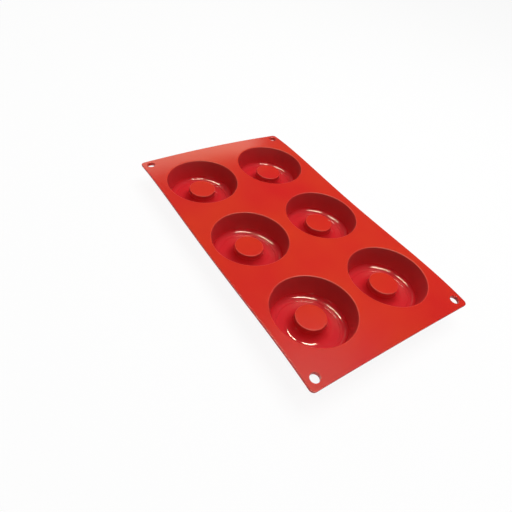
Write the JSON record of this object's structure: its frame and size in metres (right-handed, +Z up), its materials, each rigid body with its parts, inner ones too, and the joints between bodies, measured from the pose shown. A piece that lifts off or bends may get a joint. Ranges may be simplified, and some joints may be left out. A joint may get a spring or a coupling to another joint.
{
  "type": "silicone savarin mould",
  "caption": "Flexible silicone baking sheet with ring-shaped savarin cavities in a grid, each with a short centre pin, and a hanging hole in every corner.",
  "frame": {"origin": "under the middle of the sheet, in the plane of the cup crests that the mould stands on", "axes": "+X across the sheet's width, +Y along its length, +Z up out of the open cavities"},
  "size_m": [0.175, 0.3, 0.0248],
  "materials": {
    "silicone": "satin red silicone rubber, smooth and slightly glossy in the cavities"
  },
  "bodies": {
    "root": {"savarin_mould": "silicone"}
  },
  "joints": []
}
